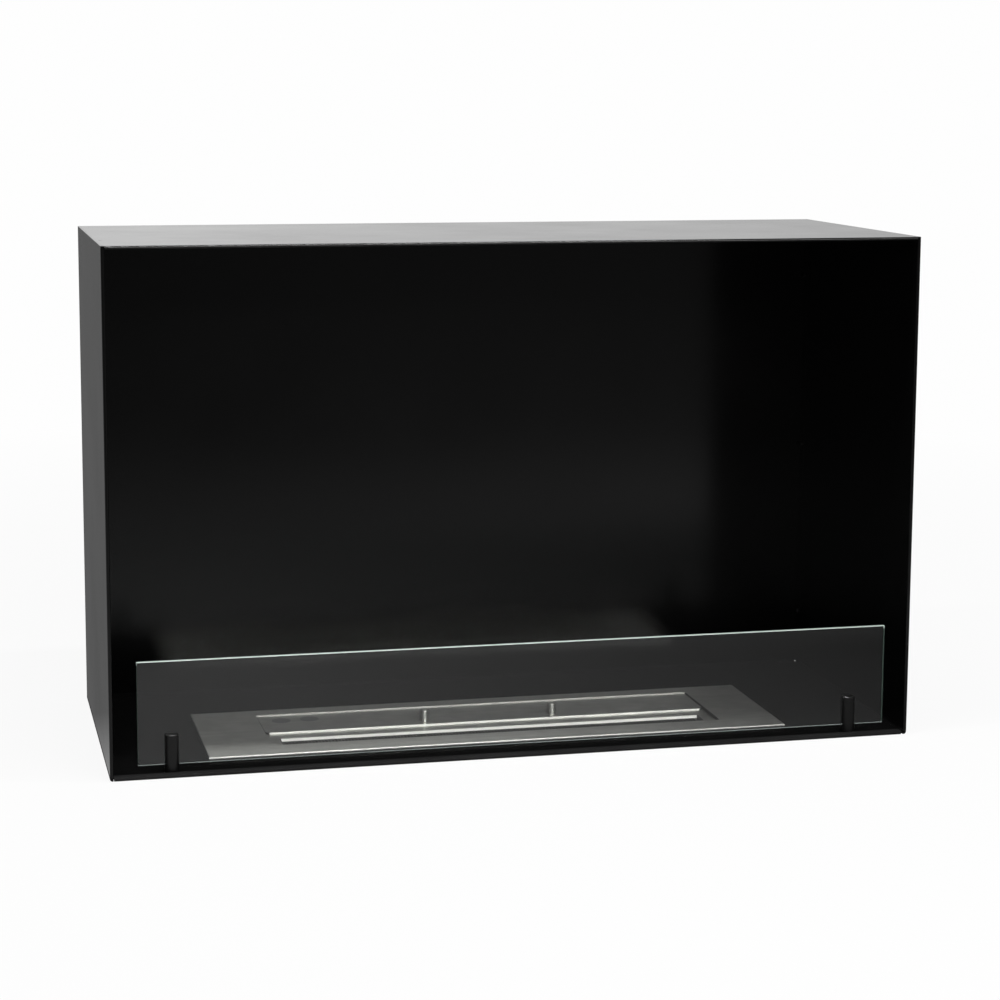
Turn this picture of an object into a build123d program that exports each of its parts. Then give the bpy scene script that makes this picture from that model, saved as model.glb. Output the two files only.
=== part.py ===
from build123d import *
import os

# Built-in bioethanol fireplace: a folded sheet case, a glass screen in two slotted posts
# and a drop-in burner with a sliding lid.
# Millimetres, +Z up. The origin is the middle of the case's underside; the open front faces -Y.

# ---- case sheets ----
case_width = 800.0
case_height = 503.0
case_depth = 314.0
sheet = 1.5
bend_radius = 2.5  # outer radius of the folded corners
hem_depth = 9.0  # how far the folded front edges reach back
hem_gap = 0.5  # air inside a folded front edge
sheet_gap = 0.1  # between two sheets that meet
left_relief_width = 0.6  # notch between the hems at the left folded corner
right_relief_width = 2.5
relief_inset = 3.5  # from the case's side to that notch
back_flange = 12.0

# ---- corner cleats and rivets ----
cleat_leg = 12.0
cleat_length = 85.0
cleat_middle = -50.0  # along Y
cleat_rivet_spread = 57.0  # from the rivet in the top to the rivet in the side
rivet_edge = 5.5  # from the case's outer face to the rivet's axis
rivet_radius = 1.5
rivet_head_radius = 2.2
rivet_head = 0.8
rivet_fit = 0.05
back_rivet_rows = 3
back_rivet_end = 61.5  # from the case's top and bottom to the outer rivets

# ---- posts, their screws and the glass ----
post_radius = 7.0
post_height = 37.5
post_from_side = 58.6  # from the case's side to the post's axis, before the shift
post_shift = 1.3  # the posts stand this far right of the middle
post_set_back = 17.0  # from the case's front to the post's axis
post_chamfer = 0.6
slot_floor = 7.0  # from the post's foot to the floor of its slot
slot_fit = 0.3  # each side of the glass
pad_thickness = 1.0
pad_length = 10.0
pad_fit = 0.15
glass_end_gap = 24.0  # from the case's side to the end of the pane, before its shift
glass_height = 100.5
glass_thickness = 4.0
glass_shift = 3.5  # the pane stands this far right of the middle
glass_arris = 0.4
screw_radius = 2.5
screw_head_radius = 4.6
screw_length = 5.5  # inside the post
screw_fit = 0.05
screw_end_room = 0.5  # between the screw's end and the end of its hole
screw_socket_radius = 1.6
screw_socket_depth = 1.2

# ---- burner, drop-in ----
burner_sheet = 1.2
burner_shift = -7.5  # the burner stands this far left of the middle
flange_length = 588.0
flange_width = 165.5
flange_set_back = 47.0  # from the case's front to the flange
flange_height = 1.5  # folded edge of the flange
flange_bend = 0.8
gasket_thickness = 2.0
gasket_width = 14.0
gasket_inset = 0.4
recess_shift = 3.0  # the recess stands this far right of the flange's middle
recess_length = 463.0
recess_width = 114.5
recess_front = 31.0  # from the flange's front to the recess
recess_depth = 3.4
deck_margin = 2.3  # the deck reaches this far past the recess lips
cutout_play = 2.0  # between the deck's edge and the cut-out in the floor
cutout_corner = 3.0
flame_slot_length = 438.0
flame_slot_width = 23.0
flame_slot_front = 11.6  # from the recess's front to the slot
collar_wall = 1.0
collar_height = 9.6
collar_fit = 0.1
strip_drop = 2.9  # from the deck's top to the perforated strip
strip_thickness = 0.8
strip_fit = 0.3
strip_hole_length = 4.0
strip_hole_width = 2.4
strip_hole_pitch = 4.8
strip_rows = 3
strip_row_pitch = 6.5
tank_depth = 20.4
tank_wall = 1.0
tank_inset = 2.0  # from the deck's edge to the tank
tank_corner = 4.0

# ---- sliding lid and its two grip pins ----
lid_width = 63.0
lid_end_gap = 1.0
lid_edge_gap = 0.6
lid_height = 2.0
lid_bend = 0.5
lid_corner = 4.0  # the lid's front corners are cut off at 45 degrees by this length
pin_radius = 4.3
pin_height = 11.0
pin_half_span = 67.5
pin_shift = 3.0  # the pins stand this far right of the lid's middle
pin_from_edge = 15.0
pin_spigot_radius = 2.0
pin_fit = 0.03
pin_round = 0.8

# ---- places worked out from the sizes above ----
ON_FLOOR = (Align.CENTER, Align.CENTER, Align.MIN)
nose_radius = sheet + hem_gap / 2
hem_thickness = 2 * nose_radius
case_front = -case_depth / 2
case_back = case_depth / 2
inner_half = case_width / 2 - sheet
cleat_top_rivet = cleat_middle - cleat_rivet_spread / 2
cleat_side_rivet = cleat_middle + cleat_rivet_spread / 2
back_rivet_y = case_back - sheet - back_flange / 2
back_rivet_z = case_height / 2
back_rivet_pitch = (case_height - 2 * back_rivet_end) / (back_rivet_rows - 1)
rivet_hole = rivet_radius + rivet_fit
rivet_grip = 2 * sheet

post_half_span = case_width / 2 - post_from_side
post_y = case_front + post_set_back
slot_width = glass_thickness + 2 * slot_fit
post_slot_z = sheet + slot_floor
glass_z = post_slot_z + pad_thickness
glass_length = case_width - 2 * glass_end_gap
screw_cone = screw_head_radius - screw_radius  # 45 degree head

burner_y = case_front + flange_set_back + flange_width / 2
flange_top = sheet + gasket_thickness + flange_height
recess_x = burner_shift + recess_shift
recess_y = case_front + flange_set_back + recess_front + recess_width / 2
deck_top = flange_top - recess_depth
deck_bottom = deck_top - burner_sheet
deck_length = recess_length + 2 * (burner_sheet + deck_margin)
deck_width = recess_width + 2 * (burner_sheet + deck_margin)
flame_slot_y = recess_y - recess_width / 2 + flame_slot_front + flame_slot_width / 2
collar_length = flame_slot_length - 2 * collar_fit
collar_width = flame_slot_width - 2 * collar_fit
strip_top = deck_top - strip_drop
strip_length = collar_length - 2 * (collar_wall + strip_fit)
strip_width = collar_width - 2 * (collar_wall + strip_fit)
tank_length = deck_length - 2 * tank_inset
tank_width = deck_width - 2 * tank_inset
tank_bottom = deck_bottom - tank_depth
wool_height = strip_top - strip_thickness - tank_bottom - tank_wall
lid_length = recess_length - 2 * lid_end_gap
lid_y = recess_y + recess_width / 2 - lid_edge_gap - lid_width / 2
lid_top = deck_top + lid_height
lid_corner_inside = lid_corner - (2 - 2**0.5) * burner_sheet  # keeps the sheet's thickness there
pin_x = recess_x + pin_shift
pin_y = lid_y - lid_width / 2 + pin_from_edge

os.makedirs("parts", exist_ok=True)


def save(piece, label):
    piece.part.label = label
    export_step(piece.part, f"parts/{label}.step")


def hem_profile(plane):
    """Folded front edge: local x runs back from the nose, local y inwards from the outer face."""
    with BuildSketch(plane, mode=Mode.PRIVATE) as profile:
        with Locations((nose_radius, nose_radius)):
            Circle(nose_radius)
            Circle(hem_gap / 2, mode=Mode.SUBTRACT)
            Rectangle(
                nose_radius, hem_thickness, align=(Align.MIN, Align.CENTER), mode=Mode.SUBTRACT
            )
        with Locations((nose_radius, sheet + hem_gap)):
            Rectangle(hem_depth - nose_radius, sheet, align=(Align.MIN, Align.MIN))
    return profile.sketch


def screw_hole():
    """Countersunk hole up from the case's underside, for the screw of a post."""
    depth = sheet + screw_length + screw_end_room
    Cylinder(screw_radius + screw_fit, depth, align=ON_FLOOR, mode=Mode.SUBTRACT)
    Cone(
        screw_head_radius + screw_fit,
        screw_radius + screw_fit,
        screw_cone,
        align=ON_FLOOR,
        mode=Mode.SUBTRACT,
    )


def rivet(depth):
    """Rivet along +Z of its own place: flush end at 0, shank down, formed head below the sheets."""
    Cylinder(rivet_radius, depth, align=(Align.CENTER, Align.CENTER, Align.MAX))
    with Locations((0, 0, -depth)):
        Cylinder(rivet_head_radius, rivet_head, align=(Align.CENTER, Align.CENTER, Align.MAX))


# ---- case body: left wall, floor and right wall folded from one sheet ----
with BuildPart() as case_body:
    with BuildSketch(Plane.XZ.offset(-case_back)) as wall_profile:
        Rectangle(case_width, case_height, align=(Align.CENTER, Align.MIN))
        fillet(wall_profile.vertices().group_by(Axis.Y)[0], bend_radius)
        with Locations((0, sheet)):
            Rectangle(
                2 * inner_half, case_height, align=(Align.CENTER, Align.MIN), mode=Mode.SUBTRACT
            )
        fillet(wall_profile.vertices().group_by(Axis.Y)[1], bend_radius - sheet)
    extrude(amount=case_depth - nose_radius)
    floor_nose = Plane((0, case_front, 0), x_dir=(0, 1, 0), z_dir=(1, 0, 0))
    extrude(hem_profile(floor_nose), amount=case_width / 2 - relief_inset, both=True)
    for side, start in ((-1, case_height), (1, hem_thickness)):
        side_nose = Plane(
            (side * case_width / 2, case_front, start), x_dir=(0, 1, 0), z_dir=(0, 0, side)
        )
        extrude(hem_profile(side_nose), amount=case_height - hem_thickness)
    # relief notches beside both bends
    with BuildSketch(Plane.XY):
        for side, width in ((-1, left_relief_width), (1, right_relief_width)):
            with Locations((side * (case_width / 2 - relief_inset - width / 2), case_front)):
                Rectangle(width, hem_depth, align=(Align.CENTER, Align.MIN))
    extrude(amount=hem_thickness, mode=Mode.SUBTRACT)
    # cut-out that the burner drops into
    with BuildSketch(Plane.XY):
        with Locations((recess_x, recess_y)):
            RectangleRounded(
                deck_length + 2 * cutout_play, deck_width + 2 * cutout_play, cutout_corner
            )
    extrude(amount=sheet, mode=Mode.SUBTRACT)
    # countersunk holes below the posts
    for side in (-1, 1):
        with Locations((post_shift + side * post_half_span, post_y, 0)):
            screw_hole()
    # rivet holes through both walls
    with BuildSketch(Plane.YZ):
        with Locations((cleat_side_rivet, case_height - rivet_edge)):
            Circle(rivet_hole)
        with Locations((back_rivet_y, back_rivet_z)):
            with GridLocations(0, back_rivet_pitch, 1, back_rivet_rows):
                Circle(rivet_hole)
    extrude(amount=case_width, both=True, mode=Mode.SUBTRACT)
save(case_body, "case_body")

# ---- top panel, let in between the walls ----
with BuildPart() as top_panel:
    with BuildSketch(Plane.XY.offset(case_height - sheet)):
        with Locations((0, case_back)):
            Rectangle(
                2 * (inner_half - sheet_gap),
                case_depth - hem_depth - hem_gap,
                align=(Align.CENTER, Align.MAX),
            )
            Rectangle(
                case_width - 2 * (hem_thickness + sheet_gap),
                case_depth - nose_radius,
                align=(Align.CENTER, Align.MAX),
            )
        for side in (-1, 1):
            with Locations((side * (case_width / 2 - rivet_edge), cleat_top_rivet)):
                Circle(rivet_hole, mode=Mode.SUBTRACT)
    extrude(amount=sheet)
    top_nose = Plane((0, case_front, case_height), x_dir=(0, 1, 0), z_dir=(-1, 0, 0))
    top_hem_half = case_width / 2 - hem_thickness - sheet_gap
    extrude(hem_profile(top_nose), amount=top_hem_half, both=True)
save(top_panel, "top_panel")

# ---- back panel with flanges folded forward along the walls ----
with BuildPart() as back_panel:
    with BuildSketch(Plane.XY.offset(sheet + sheet_gap)) as back_profile:
        back_half = inner_half - sheet_gap
        with Locations((0, case_back)):
            Rectangle(2 * back_half, sheet + back_flange, align=(Align.CENTER, Align.MAX))
        fillet(back_profile.vertices().group_by(Axis.Y)[-1], bend_radius)
        with Locations((0, case_back - sheet)):
            Rectangle(
                2 * (back_half - sheet),
                back_flange,
                align=(Align.CENTER, Align.MAX),
                mode=Mode.SUBTRACT,
            )
    extrude(amount=case_height - 2 * (sheet + sheet_gap))
    # lower corners cut away over the case's inner bends
    with BuildSketch(Plane.XY.offset(sheet)):
        for side in (-1, 1):
            with Locations((side * inner_half, case_back)):
                Rectangle(2 * bend_radius, 2 * (sheet + back_flange))
    extrude(amount=bend_radius - sheet, mode=Mode.SUBTRACT)
    with BuildSketch(Plane.YZ):
        with Locations((back_rivet_y, back_rivet_z)):
            with GridLocations(0, back_rivet_pitch, 1, back_rivet_rows):
                Circle(rivet_hole)
    extrude(amount=case_width, both=True, mode=Mode.SUBTRACT)
save(back_panel, "back_panel")

# ---- two short angle cleats that tie the top panel to the walls ----
for side, name in ((-1, "left_corner_cleat"), (1, "right_corner_cleat")):
    wall_x = side * inner_half
    with BuildPart() as cleat:
        with BuildSketch(Plane.XZ.offset(-cleat_middle)):
            with Locations((wall_x, case_height - sheet)):
                Rectangle(
                    cleat_leg, sheet, align=(Align.MAX if side > 0 else Align.MIN, Align.MAX)
                )
                Rectangle(
                    sheet, cleat_leg, align=(Align.MAX if side > 0 else Align.MIN, Align.MAX)
                )
        extrude(amount=cleat_length / 2, both=True)
        with BuildSketch(Plane.XY.offset(case_height)):
            with Locations((side * (case_width / 2 - rivet_edge), cleat_top_rivet)):
                Circle(rivet_hole)
        extrude(amount=-2 * sheet, mode=Mode.SUBTRACT)
        with BuildSketch(Plane.YZ.offset(wall_x)):
            with Locations((cleat_side_rivet, case_height - rivet_edge)):
                Circle(rivet_hole)
        extrude(amount=-side * sheet, mode=Mode.SUBTRACT)
    save(cleat, name)

# ---- rivets: flush outside, formed head inside ----
with BuildPart() as cleat_rivets:
    for side in (-1, 1):
        with Locations(Plane((side * (case_width / 2 - rivet_edge), cleat_top_rivet, case_height))):
            rivet(rivet_grip)
        outer_face = (side * case_width / 2, cleat_side_rivet, case_height - rivet_edge)
        with Locations(Plane(outer_face, x_dir=(0, 1, 0), z_dir=(side, 0, 0))):
            rivet(rivet_grip)
save(cleat_rivets, "cleat_rivets")

with BuildPart() as back_rivets:
    for side in (-1, 1):
        outer_face = (side * case_width / 2, back_rivet_y, back_rivet_z)
        with Locations(Plane(outer_face, x_dir=(0, 0, 1), z_dir=(side, 0, 0))):
            with GridLocations(back_rivet_pitch, 0, back_rivet_rows, 1):
                rivet(rivet_grip + sheet_gap)
save(back_rivets, "back_rivets")

# ---- slotted posts, screwed on from below, with a soft pad in each slot ----
for side, name in ((-1, "left"), (1, "right")):
    post_x = post_shift + side * post_half_span
    with BuildPart() as post:
        with Locations((post_x, post_y, sheet)):
            Cylinder(post_radius, post_height, align=ON_FLOOR)
            chamfer(post.edges().filter_by(GeomType.CIRCLE).group_by(Axis.Z)[-1], post_chamfer)
        with Locations((post_x, post_y, 0)):
            screw_hole()
        with Locations((post_x, post_y, post_slot_z)):
            Box(
                2 * post_radius,
                slot_width,
                post_height,
                align=ON_FLOOR,
                mode=Mode.SUBTRACT,
            )
    save(post, f"{name}_post")

    with BuildPart() as pad:
        with Locations((post_x, post_y, post_slot_z)):
            Box(pad_length, slot_width - 2 * pad_fit, pad_thickness, align=ON_FLOOR)
    save(pad, f"{name}_glass_pad")

with BuildPart() as post_screws:
    for side in (-1, 1):
        with Locations((post_shift + side * post_half_span, post_y, screw_fit)):
            Cone(screw_head_radius, screw_radius, screw_cone, align=ON_FLOOR)
            Cylinder(screw_radius, sheet + screw_length - screw_fit, align=ON_FLOOR)
        with BuildSketch(Plane.XY.offset(screw_fit)):
            with Locations((post_shift + side * post_half_span, post_y)):
                RegularPolygon(screw_socket_radius, 6)
        extrude(amount=screw_socket_depth, mode=Mode.SUBTRACT)
save(post_screws, "post_screws")

# ---- glass screen ----
with BuildPart() as glass_pane:
    with Locations((glass_shift, post_y, glass_z)):
        Box(glass_length, glass_thickness, glass_height, align=ON_FLOOR)
    chamfer(glass_pane.edges(), glass_arris)
save(glass_pane, "glass_pane")

# ---- gasket between the burner's flange and the floor ----
with BuildPart() as burner_gasket:
    with BuildSketch(Plane.XY.offset(sheet)):
        with Locations((burner_shift, burner_y)):
            Rectangle(flange_length - 2 * gasket_inset, flange_width - 2 * gasket_inset)
            Rectangle(
                flange_length - 2 * (gasket_inset + gasket_width),
                flange_width - 2 * (gasket_inset + gasket_width),
                mode=Mode.SUBTRACT,
            )
    extrude(amount=gasket_thickness)
save(burner_gasket, "burner_gasket")

# ---- burner frame: flange with a folded outer edge and lips down into the recess ----
with BuildPart() as burner_frame:
    with BuildSketch(Plane.XY.offset(flange_top)):
        with Locations((burner_shift, burner_y)):
            Rectangle(flange_length, flange_width)
    extrude(amount=-flange_height)
    fillet(burner_frame.edges().group_by(Axis.Z)[-1], flange_bend)
    with BuildSketch(Plane.XY.offset(flange_top - burner_sheet)):
        with Locations((burner_shift, burner_y)):
            Rectangle(flange_length - 2 * burner_sheet, flange_width - 2 * burner_sheet)
    extrude(amount=burner_sheet - flange_height, mode=Mode.SUBTRACT)
    with BuildSketch(Plane.XY.offset(flange_top - burner_sheet)):
        with Locations((recess_x, recess_y)):
            Rectangle(recess_length + 2 * burner_sheet, recess_width + 2 * burner_sheet)
    extrude(amount=burner_sheet - recess_depth)
    with BuildSketch(Plane.XY.offset(flange_top)):
        with Locations((recess_x, recess_y)):
            Rectangle(recess_length, recess_width)
    extrude(amount=-recess_depth, mode=Mode.SUBTRACT)
save(burner_frame, "burner_frame")

# ---- burner deck: floor of the recess, with the flame slot ----
with BuildPart() as burner_deck:
    with BuildSketch(Plane.XY.offset(deck_bottom)):
        with Locations((recess_x, recess_y)):
            Rectangle(deck_length, deck_width)
        with Locations((recess_x, flame_slot_y)):
            Rectangle(flame_slot_length, flame_slot_width, mode=Mode.SUBTRACT)
    extrude(amount=burner_sheet)
save(burner_deck, "burner_deck")

# ---- collar that lines the flame slot ----
with BuildPart() as flame_collar:
    with BuildSketch(Plane.XY.offset(deck_top - collar_fit)):
        with Locations((recess_x, flame_slot_y)):
            Rectangle(collar_length, collar_width)
            Rectangle(
                collar_length - 2 * collar_wall, collar_width - 2 * collar_wall, mode=Mode.SUBTRACT
            )
    extrude(amount=-collar_height)
save(flame_collar, "flame_collar")

# ---- perforated strip on top of the wool ----
strip_columns = int((strip_length - strip_hole_width) // strip_hole_pitch)
with BuildPart() as perforated_strip:
    with BuildSketch(Plane.XY.offset(strip_top)):
        with Locations((recess_x, flame_slot_y)):
            Rectangle(strip_length, strip_width)
            with GridLocations(strip_hole_pitch, strip_row_pitch, strip_columns, strip_rows):
                Rectangle(strip_hole_width, strip_hole_length, mode=Mode.SUBTRACT)
    extrude(amount=-strip_thickness)
save(perforated_strip, "perforated_strip")

# ---- ceramic wool that soaks up the fuel and carries the strip ----
with BuildPart() as ceramic_wool:
    with Locations((recess_x, flame_slot_y, tank_bottom + tank_wall)):
        Box(strip_length, strip_width, wool_height, align=ON_FLOOR)
save(ceramic_wool, "ceramic_wool")

# ---- fuel tank under the deck ----
with BuildPart() as fuel_tank:
    with BuildSketch(Plane.XY.offset(deck_bottom)):
        with Locations((recess_x, recess_y)):
            RectangleRounded(tank_length, tank_width, tank_corner)
    extrude(amount=-tank_depth)
    with BuildSketch(Plane.XY.offset(deck_bottom)):
        with Locations((recess_x, recess_y)):
            RectangleRounded(
                tank_length - 2 * tank_wall, tank_width - 2 * tank_wall, tank_corner - tank_wall
            )
    extrude(amount=tank_wall - tank_depth, mode=Mode.SUBTRACT)
save(fuel_tank, "fuel_tank")

# ---- sliding lid: a shallow pan turned over, its edges ride on the deck ----
with BuildPart() as sliding_lid:
    with BuildSketch(Plane.XY.offset(deck_top)) as lid_outline:
        with Locations((recess_x, lid_y)):
            Rectangle(lid_length, lid_width)
        chamfer(lid_outline.vertices().group_by(Axis.Y)[0], lid_corner)
    extrude(amount=lid_height)
    fillet(sliding_lid.edges().group_by(Axis.Z)[-1], lid_bend)
    with BuildSketch(Plane.XY.offset(deck_top)) as lid_inside:
        with Locations((recess_x, lid_y)):
            Rectangle(lid_length - 2 * burner_sheet, lid_width - 2 * burner_sheet)
        chamfer(lid_inside.vertices().group_by(Axis.Y)[0], lid_corner_inside)
    extrude(amount=lid_height - burner_sheet, mode=Mode.SUBTRACT)
    with BuildSketch(Plane.XY.offset(lid_top)):
        with Locations((pin_x, pin_y)):
            with GridLocations(2 * pin_half_span, 0, 2, 1):
                Circle(pin_spigot_radius + pin_fit)
    extrude(amount=-burner_sheet, mode=Mode.SUBTRACT)
save(sliding_lid, "sliding_lid")

# ---- grip pins on the lid, each with a spigot through the lid's sheet ----
for side, name in ((-1, "left_lid_pin"), (1, "right_lid_pin")):
    with BuildPart() as pin:
        with Locations((pin_x + side * pin_half_span, pin_y, lid_top)):
            Cylinder(pin_radius, pin_height, align=ON_FLOOR)
            fillet(pin.edges().filter_by(GeomType.CIRCLE).group_by(Axis.Z)[-1], pin_round)
            Cylinder(
                pin_spigot_radius, burner_sheet, align=(Align.CENTER, Align.CENTER, Align.MAX)
            )
    save(pin, name)
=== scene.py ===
import math

import bmesh
import bpy
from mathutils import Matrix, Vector


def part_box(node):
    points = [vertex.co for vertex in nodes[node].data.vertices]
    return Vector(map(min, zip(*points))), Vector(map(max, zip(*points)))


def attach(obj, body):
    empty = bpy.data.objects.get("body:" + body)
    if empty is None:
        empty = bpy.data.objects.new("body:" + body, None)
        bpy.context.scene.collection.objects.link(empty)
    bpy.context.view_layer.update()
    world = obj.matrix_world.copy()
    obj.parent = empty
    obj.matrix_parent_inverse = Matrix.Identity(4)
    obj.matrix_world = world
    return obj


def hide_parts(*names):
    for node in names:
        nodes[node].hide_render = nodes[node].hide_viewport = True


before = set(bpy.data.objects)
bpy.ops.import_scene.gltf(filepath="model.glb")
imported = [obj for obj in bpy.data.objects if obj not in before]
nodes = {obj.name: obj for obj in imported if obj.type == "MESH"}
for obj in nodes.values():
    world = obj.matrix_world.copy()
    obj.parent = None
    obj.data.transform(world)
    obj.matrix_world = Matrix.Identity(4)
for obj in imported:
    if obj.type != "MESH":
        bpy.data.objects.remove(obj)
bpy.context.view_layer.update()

MM = 0.001
WHITE = 0.99  # the background's level
scene = bpy.context.scene

# ---------------------------------------------------------------- camera
CAMERA_PLACE = (-0.55961, -2.35850, 0.65107)
CAMERA_TURN = (81.82781, -0.21259, -12.90497)  # degrees
camera_data = bpy.data.cameras.new("camera")
camera_data.sensor_width = 36.0
camera_data.lens = 86.364
camera_data.shift_x = 0.02928
camera_data.shift_y = -0.07252
camera_data.clip_start = 0.05
camera_data.clip_end = 60.0
camera = bpy.data.objects.new("camera", camera_data)
camera.location = CAMERA_PLACE
camera.rotation_euler = [math.radians(a) for a in CAMERA_TURN]
scene.collection.objects.link(camera)
scene.camera = camera


# ---------------------------------------------------------------- shader helpers
class Graph:
    """A small wrapper that adds and links shader nodes."""

    def __init__(self, tree):
        self.tree = tree
        tree.nodes.clear()

    def node(self, kind, settings=None, **inputs):
        n = self.tree.nodes.new(kind)
        for key, value in (settings or {}).items():
            setattr(n, key, value)
        for key, value in inputs.items():
            self.set(n, key.replace("_", " "), value)
        return n

    def set(self, n, key, value):
        socket = n.inputs[int(key)] if key.isdigit() else n.inputs[key]
        if isinstance(value, bpy.types.NodeSocket):
            self.tree.links.new(value, socket)
        else:
            socket.default_value = value

    def math(self, operation, a, b=0.0):
        n = self.node("ShaderNodeMath", {"operation": operation})
        self.set(n, "0", a)
        self.set(n, "1", b)
        return n.outputs[0]

    def remap(self, value, low, high, new_low, new_high):
        n = self.node("ShaderNodeMapRange", {"clamp": True})
        for key, v in (("Value", value), ("From Min", low), ("From Max", high),
                       ("To Min", new_low), ("To Max", new_high)):
            self.set(n, key, v)
        return n.outputs["Result"]

    def noise(self, vector, scale, detail=2.0, rough=0.5):
        n = self.node(
            "ShaderNodeTexNoise", Vector=vector, Scale=scale, Detail=detail, Roughness=rough
        )
        return n.outputs["Fac"]

    def stretched(self, vector, scale):
        n = self.node("ShaderNodeMapping", Vector=vector, Scale=scale)
        return n.outputs["Vector"]

    def blend(self, share, a, b):
        n = self.node("ShaderNodeMix")
        for key, v in (("0", share), ("2", a), ("3", b)):
            self.set(n, key, v)
        return n.outputs[0]

    def mix(self, factor, a, b):
        n = self.node("ShaderNodeMix", {"data_type": "RGBA"})
        self.set(n, "0", factor)
        self.set(n, "6", a)
        self.set(n, "7", b)
        return n.outputs[2]

    def mix_shader(self, share, a, b):
        n = self.node("ShaderNodeMixShader")
        for key, v in (("0", share), ("1", a), ("2", b)):
            self.set(n, key, v)
        return n.outputs[0]

    def split(self, vector):
        return self.node("ShaderNodeSeparateXYZ", Vector=vector).outputs

    def flatness(self, axis):
        """1 on faces square to this axis of the world, 0 on faces along it."""
        normal = self.node("ShaderNodeNewGeometry").outputs["True Normal"]
        return self.math("ABSOLUTE", self.split(normal)[axis])

    def facing(self, axis):
        return self.remap(self.flatness(axis), 0.3, 0.9, 0.0, 1.0)


def material(name):
    m = bpy.data.materials.new(name)
    m.use_nodes = True
    return m, Graph(m.node_tree)


def finish_material(g, shader):
    g.node("ShaderNodeOutputMaterial", Surface=shader)


def grey(v):
    return (v, v, v, 1.0)


def warm(v):
    return (v, v * 0.995, v * 0.94, 1.0)


# ---------------------------------------------------------------- materials
def object_place(g):
    return g.node("ShaderNodeTexCoord").outputs["Object"]


# the second tone is painted light: the floor's front lip is painted lighter than the floor
FLOOR_TONE, LIP_LIGHT_TONE = 0.003, 0.023
DULL_SHARE = 0.95  # how much of the case's floor is dull
DULL_TO = (0.004, 0.006)  # heights between which the dull floor gives way to the satin coat
LIP_FROM = (-0.152, -0.138)  # along Y, where the painted light on the lip fades into the floor


def coat(name, base=0.001, rough=0.16, peel=0.03, lip=False):
    """Black satin powder coat: fine orange peel and faint uneven gloss.

    With lip, the case's floor is dull from use, and its front lip is painted lighter: painted
    light.
    """
    m, g = material(name)
    place = object_place(g)
    fine = g.noise(place, 900.0, 3.0, 0.6)
    broad = g.noise(place, 7.0, 3.0, 0.55)
    bump = g.node("ShaderNodeBump", Height=fine, Strength=peel, Distance=0.0004)
    p = g.node("ShaderNodeBsdfPrincipled", IOR=1.42)
    tone = g.mix(broad, grey(base * 0.7), grey(base * 1.4))
    g.set(p, "Base Color", tone)
    g.set(p, "Roughness", g.remap(broad, 0.3, 0.7, rough - 0.02, rough + 0.02))
    g.set(p, "Normal", bump.outputs["Normal"])
    shader = p.outputs[0]
    if lip:
        spot = g.split(place)
        low = g.remap(spot["Z"], *DULL_TO, DULL_SHARE, 0.0)
        front = g.remap(spot["Y"], *LIP_FROM, 1.0, 0.0)
        # painted light: towards the front the floor's tone rises to the lighter lip tone
        painted_lip_light = g.mix(broad, g.mix(front, grey(FLOOR_TONE), grey(LIP_LIGHT_TONE)), grey(FLOOR_TONE))
        dull = g.node("ShaderNodeBsdfDiffuse", Color=painted_lip_light, Roughness=0.5)
        shader = g.mix_shader(low, shader, dull.outputs[0])
    finish_material(g, shader)
    return m


def brushed(name, base=0.385, edge=0.82, rough=0.34, rings=()):
    """Stainless steel brushed along X: fine grain, faint streaks and handling clouds.

    Faces square to Y take the edge's tone, painted light or painted shade on them, end faces are
    painted dark as shade, and rings are round dark marks.
    """
    m, g = material(name)
    place = object_place(g)
    grain = g.noise(g.stretched(place, (25.0, 2600.0, 2600.0)), 1.0, 2.0, 0.6)
    streak = g.noise(g.stretched(place, (3.0, 260.0, 260.0)), 1.0, 2.0, 0.5)
    cloud = g.noise(place, 16.0, 3.0, 0.6)
    tone = g.mix(g.remap(streak, 0.3, 0.7, 0.0, 1.0), warm(base * 0.88), warm(base * 1.12))
    tone = g.mix(g.remap(cloud, 0.38, 0.62, 0.0, 0.8), tone, warm(base * 0.70))
    marks = 0.0
    for cx, cy, r in rings:
        away = g.node("ShaderNodeVectorMath", {"operation": "DISTANCE"})
        g.set(away, "0", g.stretched(place, (1.0, 1.0, 0.0)))
        g.set(away, "1", (cx, cy, 0.0))
        disc = g.remap(away.outputs["Value"], r * 0.86, r, 1.0, 0.0)
        marks = g.math("MAXIMUM", marks, disc)
    if rings:
        tone = g.mix(marks, tone, grey(base * 0.5))
    # painted light and shade: faces square to Y take the edge tone, and end faces square to X are
    # painted dark
    tone = g.mix(g.facing("Y"), tone, warm(edge))
    tone = g.mix(g.facing("X"), tone, warm(base * 0.3))
    bump = g.node("ShaderNodeBump", Height=grain, Strength=0.06, Distance=0.0001)
    p = g.node("ShaderNodeBsdfPrincipled", Metallic=1.0, Anisotropic=0.85)
    g.set(p, "Anisotropic Rotation", 0.25)
    g.set(p, "Tangent", g.node("ShaderNodeCombineXYZ", X=1.0, Y=0.02, Z=0.03).outputs[0])
    g.set(p, "Base Color", tone)
    uneven = g.math("ADD", grain, cloud)
    g.set(p, "Roughness", g.remap(uneven, 0.8, 1.2, rough - 0.04, rough + 0.04))
    g.set(p, "Normal", bump.outputs["Normal"])
    finish_material(g, p.outputs[0])
    return m


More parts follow.
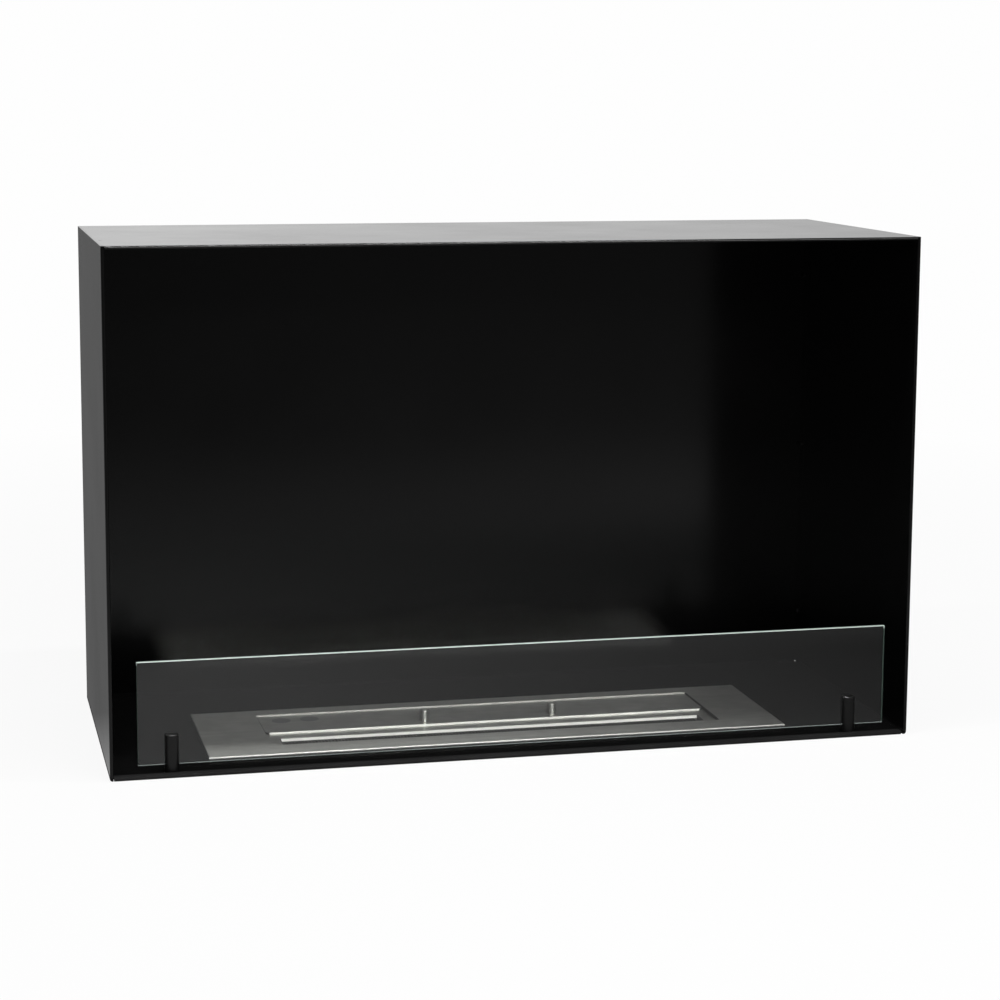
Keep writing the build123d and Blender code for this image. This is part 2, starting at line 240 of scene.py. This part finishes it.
def turned(name, base, rough, metal=1.0, painted_side_shade=0.0):
    """Satin steel with a trace of turning marks; the last argument is the darker tone of faces not
    square to Y, a painted shade.
    """
    m, g = material(name)
    place = object_place(g)
    marks = g.noise(g.stretched(place, (60.0, 60.0, 3000.0)), 1.0, 2.0, 0.5)
    cloud = g.noise(place, 120.0, 2.0)
    bump = g.node("ShaderNodeBump", Height=marks, Strength=0.015, Distance=0.0001)
    p = g.node("ShaderNodeBsdfPrincipled", Metallic=metal)
    tone = g.mix(cloud, warm(base * 0.94), warm(base))
    # painted shade: faces not square to Y take the darker tone
    if painted_side_shade:
        tone = g.mix(g.facing("Y"), warm(painted_side_shade), tone)
    g.set(p, "Base Color", tone)
    g.set(p, "Roughness", g.remap(marks, 0.3, 0.7, rough - 0.03, rough + 0.05))
    g.set(p, "Normal", bump.outputs["Normal"])
    finish_material(g, p.outputs[0])
    return m


PANE_FOOT = (0.010, 0.012)  # heights between which the pane's lower edge ends
PANE_HEAD = (0.106, 0.108)  # heights between which its pale upper edge starts


def glass(name):
    """Clear pane with ground edges: pale green at the top, and painted shade on the rest: dark at
    the ends, grey below.
    """
    m, g = material(name)
    place = object_place(g)
    edge = g.remap(g.flatness("Y"), 0.72, 0.9, 1.0, 0.0)
    height = g.split(place)["Z"]
    under = g.remap(height, *PANE_FOOT, 1.0, 0.0)
    top = g.remap(height, *PANE_HEAD, 0.0, 1.0)
    smear = g.noise(place, 9.0, 2.0, 0.5)
    clear = g.node("ShaderNodeBsdfPrincipled", IOR=1.5, Roughness=0.0)
    g.set(clear, "Transmission Weight", 1.0)
    tint = g.mix(smear, (0.965, 0.985, 0.975, 1.0), (0.985, 0.995, 0.99, 1.0))
    g.set(clear, "Base Color", tint)
    rim = g.node("ShaderNodeBsdfPrincipled", IOR=1.5, Roughness=0.22)
    g.set(rim, "Transmission Weight", 0.3)
    ground = g.mix(smear, (0.62, 0.74, 0.68, 1.0), (0.72, 0.82, 0.77, 1.0))
    # painted shade: the ground edge is painted dark at the ends
    g.set(rim, "Base Color", g.mix(top, (0.05, 0.08, 0.065, 1.0), ground))
    # painted shade: the lower edge is painted grey
    foot = g.mix(smear, (0.11, 0.125, 0.12, 1.0), (0.15, 0.165, 0.16, 1.0))
    lower = g.node("ShaderNodeBsdfDiffuse", Color=foot)
    rims = g.mix_shader(under, rim.outputs[0], lower.outputs[0])
    both = g.mix_shader(edge, clear.outputs[0], rims)
    shadow = g.node("ShaderNodeLightPath").outputs["Is Shadow Ray"]
    let_through = g.node("ShaderNodeBsdfTransparent", Color=grey(0.96))
    finish_material(g, g.mix_shader(shadow, both, let_through.outputs[0]))
    return m


def rubber(name):
    """Dark, dull silicone."""
    base = 0.012
    m, g = material(name)
    place = object_place(g)
    fine = g.noise(place, 1800.0, 2.0)
    bump = g.node("ShaderNodeBump", Height=fine, Strength=0.2, Distance=0.0001)
    p = g.node("ShaderNodeBsdfPrincipled", IOR=1.45)
    g.set(p, "Base Color", g.mix(g.noise(place, 90.0), grey(base * 0.7), grey(base * 1.3)))
    g.set(p, "Roughness", g.remap(fine, 0.3, 0.7, 0.55, 0.75))
    g.set(p, "Normal", bump.outputs["Normal"])
    finish_material(g, p.outputs[0])
    return m


def wool(name):
    """Fibre wool, painted near-black as the shade down in the flame slot."""
    m, g = material(name)
    place = object_place(g)
    fibre = g.noise(g.stretched(place, (220.0, 900.0, 900.0)), 1.0, 4.0, 0.7)
    bump = g.node("ShaderNodeBump", Height=fibre, Strength=0.8, Distance=0.0008)
    p = g.node("ShaderNodeBsdfPrincipled", Roughness=0.95)
    g.set(p, "Base Color", g.mix(fibre, (0.006, 0.006, 0.005, 1.0), (0.025, 0.024, 0.022, 1.0)))
    g.set(p, "Normal", bump.outputs["Normal"])
    finish_material(g, p.outputs[0])
    return m


case_coat = coat("case_coat", lip=True)
post_coat = coat("post_coat", base=0.003, rough=0.32)
rivet_coat = coat("rivet_coat", rough=0.5, peel=0.02)
# edge is the painted tone of faces square to Y: a painted highlight on the steel and on the frame
steel = brushed("brushed_steel")
frame_steel = brushed("frame_steel", edge=0.57)
# painted shade: the strip is made dark and its faces square to Y near black, as the shade in the
# flame slot
strip_steel = brushed("strip_steel", base=0.08, edge=0.01, rough=0.55)
# the collar's front-facing wall is painted near-white, a painted highlight, and its other faces
# dark, a painted shade
collar_steel = turned("collar_steel", base=0.96, rough=0.50, metal=0.10, painted_side_shade=0.05)
pin_steel = turned("pin_steel", base=0.95, rough=0.33)
screw_steel = turned("screw_steel", base=0.40, rough=0.32)
pane_glass = glass("pane_glass")
silicone = rubber("silicone")
fibre_wool = wool("fibre_wool")

RING = 10.4 * MM  # radius of the two round marks on the lid
lid_steel = brushed("lid_steel", rings=[(-0.2127, 0.0158, RING), (-0.1834, 0.0168, RING)])

finishes = {
    case_coat: ["case_body", "top_panel", "back_panel", "left_corner_cleat", "right_corner_cleat"],
    post_coat: ["left_post", "right_post"],
    rivet_coat: ["cleat_rivets", "back_rivets"],
    screw_steel: ["post_screws"],
    silicone: ["left_glass_pad", "right_glass_pad", "burner_gasket"],
    pane_glass: ["glass_pane"],
    steel: ["burner_deck", "fuel_tank"],
    frame_steel: ["burner_frame"],
    collar_steel: ["flame_collar"],
    lid_steel: ["sliding_lid"],
    pin_steel: ["left_lid_pin", "right_lid_pin"],
    fibre_wool: ["ceramic_wool"],
}
for finish, names in finishes.items():
    for name in names:
        mesh = nodes[name].data
        mesh.materials.clear()
        mesh.materials.append(finish)


# ---------------------------------------------------------------- perforated strip
def perforated_strip():
    """The strip in the flame slot, with its fine square perforation."""
    low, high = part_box("perforated_strip")
    pitch, hole, rows = 3.35 * MM, 2.4 * MM, 5
    columns = int((high.x - low.x - pitch) // pitch)

    def lines(start, end, count):
        """The strip's two ends and, between them, both sides of each hole."""
        first = start + (end - start - count * pitch) / 2 + (pitch - hole) / 2
        sides = [first + (i // 2) * pitch + (i % 2) * hole for i in range(2 * count)]
        return [start] + sides + [end]

    xs = lines(low.x, high.x, columns)
    ys = lines(low.y, high.y, rows)
    bm = bmesh.new()
    grid = [[[bm.verts.new((x, y, z)) for y in ys] for x in xs] for z in (low.z, high.z)]

    def solid(i, j):
        is_hole = i % 2 == 1 and j % 2 == 1
        return 0 <= i < len(xs) - 1 and 0 <= j < len(ys) - 1 and not is_hole

    bottom, top = grid
    for i in range(len(xs) - 1):
        for j in range(len(ys) - 1):
            if not solid(i, j):
                continue
            bm.faces.new((top[i][j], top[i + 1][j], top[i + 1][j + 1], top[i][j + 1]))
            bm.faces.new(
                (bottom[i][j], bottom[i][j + 1], bottom[i + 1][j + 1], bottom[i + 1][j])
            )
            for di, dj, a, b in ((-1, 0, (0, 1), (0, 0)), (1, 0, (1, 0), (1, 1)),
                                 (0, -1, (0, 0), (1, 0)), (0, 1, (1, 1), (0, 1))):
                if not solid(i + di, j + dj):
                    pi, pj, qi, qj = i + a[0], j + a[1], i + b[0], j + b[1]
                    bm.faces.new((bottom[pi][pj], bottom[qi][qj], top[qi][qj], top[pi][pj]))
    mesh = bpy.data.meshes.new("flame_strip")
    bm.to_mesh(mesh)
    bm.free()
    piece = bpy.data.objects.new("flame_strip", mesh)
    scene.collection.objects.link(piece)
    mesh.materials.append(strip_steel)
    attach(piece, "burner")
    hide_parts("perforated_strip")


perforated_strip()


# ---------------------------------------------------------------- floor, world and lamps
# levels that reflections see: the floor in front by distance and side, the sky by height and side
NEAR_LEFT, NEAR_RIGHT = 0.445, 0.10
MID_LEFT, MID_RIGHT = 0.27, 0.42
FAR_LEFT, FAR_RIGHT = 0.10, 0.15
BEHIND = 0.168
SKY_LOW, SKY_HIGH, SKY_TOP = 0.04, 0.10, 0.20
SKY_BEHIND, SKY_BEHIND_RIGHT = 0.978, 0.672
PLAIN = 0.6  # the world's level for light that bounces
STAGE_HALF = 14.0  # from the middle to the floor's edge
STAGE_DROP = 0.0004  # the floor lies this far below the case


def ray_shares(g):
    """Two shares: rays straight or through glass from the camera, and rays that were mirrored."""
    path = g.node("ShaderNodeLightPath")
    through = path.outputs["Is Transmission Ray"]
    bounces = g.math("ADD", path.outputs["Glossy Depth"], path.outputs["Diffuse Depth"])
    unbounced = g.math("LESS_THAN", bounces, 0.5)
    seen = g.math("MULTIPLY", g.math("MAXIMUM", path.outputs["Is Camera Ray"], through), unbounced)
    not_diffuse = g.math("LESS_THAN", path.outputs["Diffuse Depth"], 0.5)
    glossy = g.math("MAXIMUM", path.outputs["Is Glossy Ray"], through)
    bounced = g.math("SUBTRACT", 1.0, unbounced)
    mirrored = g.math("MULTIPLY", g.math("MULTIPLY", glossy, not_diffuse), bounced)
    return seen, mirrored


def floor():
    """White where it is seen, matte for light that bounces, dim in reflections.

    It is open under the burner's tank.
    """
    m, g = material("floor_finish")
    seen, mirrored = ray_shares(g)
    place = g.node("ShaderNodeNewGeometry").outputs["Position"]
    spot = g.split(place)
    far = g.node("ShaderNodeVectorMath", {"operation": "LENGTH"}, Vector=place).outputs["Value"]
    near_level = g.remap(spot["X"], -0.2, 0.7, NEAR_LEFT, NEAR_RIGHT)
    mid_level = g.remap(spot["X"], -0.2, 0.7, MID_LEFT, MID_RIGHT)
    far_level = g.remap(spot["X"], -0.2, 0.9, FAR_LEFT, FAR_RIGHT)
    to_mid = g.remap(spot["Y"], -0.8, -0.5, 1.0, 0.0)
    to_far = g.remap(spot["Y"], -1.6, -1.1, 1.0, 0.0)
    behind = g.remap(spot["Y"], -0.16, 0.10, 0.0, 1.0)
    in_front = g.blend(to_far, g.blend(to_mid, near_level, mid_level), far_level)
    level = g.blend(behind, in_front, BEHIND)
    matte = g.node("ShaderNodeBsdfDiffuse", Color=grey(0.60), Roughness=0.4)
    strength = g.blend(seen, g.math("MULTIPLY", mirrored, level), WHITE)
    glow = g.node("ShaderNodeEmission", Color=grey(1.0), Strength=strength)
    fade = g.remap(far, 0.7, 2.2, 0.92, 1.0)
    share = g.math("MAXIMUM", g.math("MULTIPLY", seen, fade), mirrored)
    finish_material(g, g.mix_shader(share, matte.outputs[0], glow.outputs[0]))
    low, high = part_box("fuel_tank")
    room = 12 * MM
    xs = (-STAGE_HALF, low.x - room, high.x + room, STAGE_HALF)
    ys = (-STAGE_HALF, low.y - room, high.y + room, STAGE_HALF)
    bm = bmesh.new()
    grid = [[bm.verts.new((x, y, 0.0)) for y in ys] for x in xs]
    for i in range(3):
        for j in range(3):
            if (i, j) != (1, 1):
                bm.faces.new((grid[i][j], grid[i + 1][j], grid[i + 1][j + 1], grid[i][j + 1]))
    mesh = bpy.data.meshes.new("floor")
    bm.to_mesh(mesh)
    bm.free()
    mesh.materials.append(m)
    piece = bpy.data.objects.new("floor", mesh)
    piece.location.z = -STAGE_DROP
    scene.collection.objects.link(piece)


floor()


def sky():
    """White where it is seen and plain for light that bounces.

    In reflections it is white behind the object and dim in front.
    """
    world = bpy.data.worlds.new("studio")
    scene.world = world
    world.use_nodes = True
    g = Graph(world.node_tree)
    seen, mirrored = ray_shares(g)
    way = g.split(g.node("ShaderNodeTexCoord").outputs["Generated"])
    front = g.blend(g.remap(way["Z"], 0.20, 0.35, 0.0, 1.0), SKY_LOW, SKY_HIGH)
    front = g.blend(g.remap(way["Z"], 0.60, 0.80, 0.0, 1.0), front, SKY_TOP)
    behind = g.remap(way["X"], 0.0, 0.45, SKY_BEHIND, SKY_BEHIND_RIGHT)
    level = g.blend(g.remap(way["Y"], 0.0, 0.6, 0.0, 1.0), front, behind)
    strength = g.blend(seen, g.blend(mirrored, PLAIN, level), WHITE)
    background = g.node("ShaderNodeBackground", Color=grey(1.0), Strength=strength)
    g.node("ShaderNodeOutputWorld", Surface=background.outputs[0])


sky()


def softbox(name, place, aim, width, height, watts):
    data = bpy.data.lights.new(name, "AREA")
    data.shape = "RECTANGLE"
    data.size, data.size_y = width, height
    data.energy = watts
    lamp = bpy.data.objects.new(name, data)
    lamp.location = place
    lamp.rotation_euler = (Vector(aim) - Vector(place)).to_track_quat("-Z", "Y").to_euler()
    lamp.visible_camera = False
    scene.collection.objects.link(lamp)


softbox("softbox_front", (0.30, -1.80, 1.15), (0.0, 0.0, 0.1), 1.6, 0.5, 23.0)
softbox("softbox_top", (-0.12, -0.32, 1.50), (-0.12, -0.10, 0.0), 1.2, 0.06, 18.0)

scene.view_settings.view_transform = "Standard"
